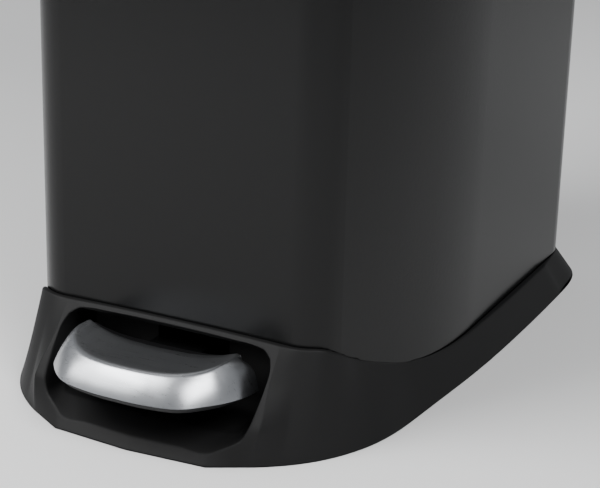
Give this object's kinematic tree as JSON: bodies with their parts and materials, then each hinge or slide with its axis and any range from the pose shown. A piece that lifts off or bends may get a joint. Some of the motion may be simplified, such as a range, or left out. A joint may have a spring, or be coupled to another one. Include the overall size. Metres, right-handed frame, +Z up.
{
  "type": "pedal bin",
  "caption": "Tall slim pedal bin: black coated steel body on a flared moulded base, a brushed steel foot pedal in a front recess, a hinged lid and a lift-out inner bucket.",
  "frame": {"origin": "on the floor under the middle of the whole bin, pedal included", "axes": "+Z up, +X to the right of someone facing the pedal, -Y out of the front, where the pedal is"},
  "size_m": [0.2688, 0.4314, 0.64],
  "materials": {
    "black_coated_steel": "satin powder coat",
    "black_base_plastic": "fine moulded grain",
    "dark_inner_plastic": "smooth satin",
    "brushed_stainless": "brushed along the pedal",
    "pedal_plastic": "moulded",
    "zinc_steel": "zinc plated",
    "spring_steel": "dark spring steel",
    "screw_steel": "zinc plated",
    "bearing_plastic": "natural acetal",
    "damper_black": "moulded",
    "ring_plastic": "moulded",
    "black_rubber": "moulded"
  },
  "bodies": {
    "bin": {"base_housing": "black_base_plastic", "bottom_plate": "dark_inner_plastic", "rubber_feet": "black_rubber", "base_screws": "screw_steel", "outer_shell": "black_coated_steel", "lever_axle": "zinc_steel", "axle_clips": "spring_steel", "axle_bracket_left": "zinc_steel", "axle_bracket_right": "zinc_steel", "bracket_screws": "screw_steel", "rod_guide_lower": "bearing_plastic", "rod_guide_upper": "bearing_plastic", "damper_cylinder": "damper_black", "damper_bracket": "bearing_plastic", "inner_bucket": "dark_inner_plastic", "bag_ring": "ring_plastic", "top_collar": "black_base_plastic", "hinge_pin": "zinc_steel", "hinge_pin_clips": "spring_steel", "rear_hinge_cover": "black_base_plastic", "lid_bumpers": "black_rubber"},
    "pedal": {"pedal_cover": "brushed_stainless", "pedal_core": "pedal_plastic", "pedal_lever": "zinc_steel", "lever_bushes": "bearing_plastic", "lever_pin": "zinc_steel", "pedal_screws": "screw_steel"},
    "lift_rod": {"rod_foot": "bearing_plastic", "push_rod": "zinc_steel", "rod_yoke": "bearing_plastic", "damper_rod": "zinc_steel", "damper_clamp": "bearing_plastic"},
    "lid": {"lid_skin": "black_coated_steel", "lid_liner": "dark_inner_plastic", "lid_bracket": "zinc_steel", "yoke_pin": "zinc_steel", "lid_screws": "screw_steel"}
  },
  "joints": [
    {"name": "lid_open", "type": "hinge", "parent": "bin", "child": "lid", "pos_m": [0, 0.1807, 0.606], "axis": [-1, 0, 0], "range_deg": [0, 70]},
    {"name": "rod_lift", "type": "slide", "parent": "bin", "child": "lift_rod", "axis": [0, 0, 1], "range_m": [0, 0.01608]},
    {"name": "pedal_press", "type": "hinge", "parent": "bin", "child": "pedal", "pos_m": [0, -0.0143, 0.028], "axis": [1, 0, 0], "range_deg": [0, 5.02]}
  ],
  "couplings": [
    {"joint": "rod_lift", "follows": "lid_open", "m_per_rad": 0.013145},
    {"joint": "pedal_press", "follows": "lid_open", "ratio": 0.07162}
  ]
}
